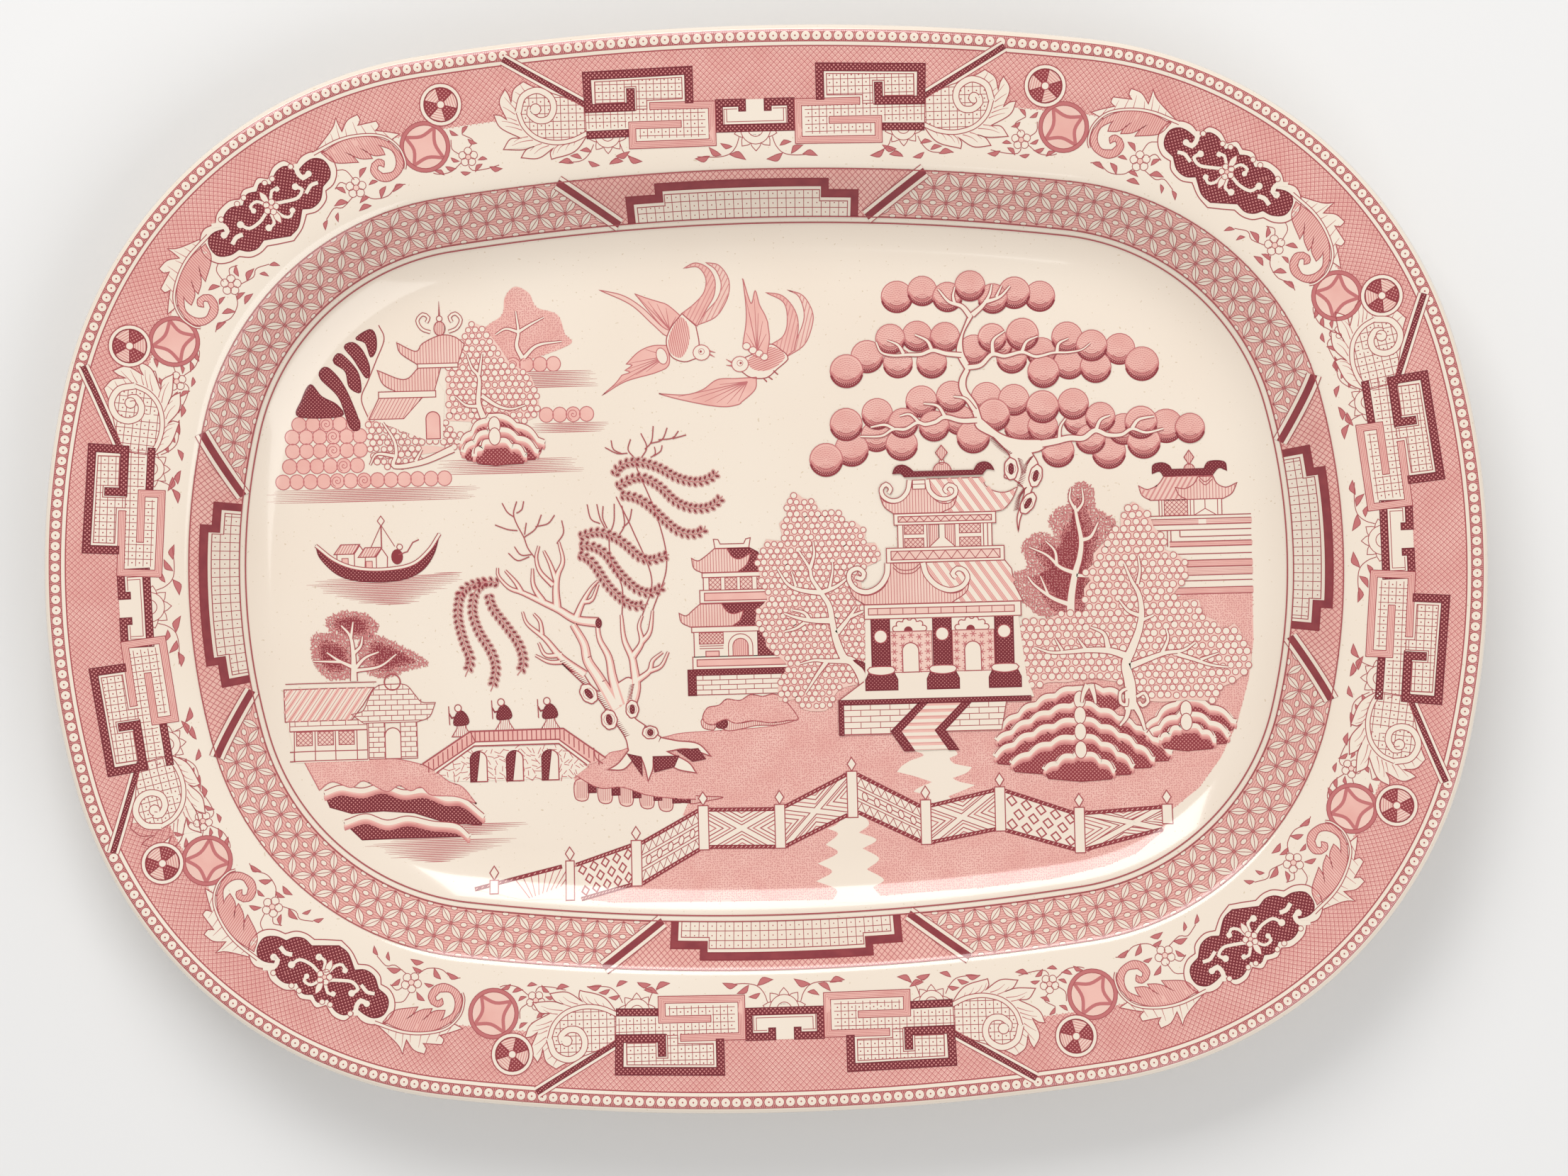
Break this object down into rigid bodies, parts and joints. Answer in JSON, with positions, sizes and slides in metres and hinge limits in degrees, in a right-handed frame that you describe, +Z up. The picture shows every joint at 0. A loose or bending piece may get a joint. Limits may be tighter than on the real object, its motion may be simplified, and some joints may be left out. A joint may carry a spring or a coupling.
{
  "type": "serving platter",
  "caption": "Oval china serving platter with a broad sloping flange, a curved wall, a flat well and a low oval foot underneath.",
  "frame": {"origin": "on the table, at the bottom centre of the platter's box, in the middle of the foot ring", "axes": "+Z up out of the well, +X along the length, +Y towards the top of the printed scene"},
  "size_m": [0.406, 0.306, 0.033],
  "materials": {
    "glazed_earthenware": "glossy clear glaze over ivory earthenware"
  },
  "bodies": {
    "root": {"platter_body": "glazed_earthenware"}
  },
  "joints": []
}
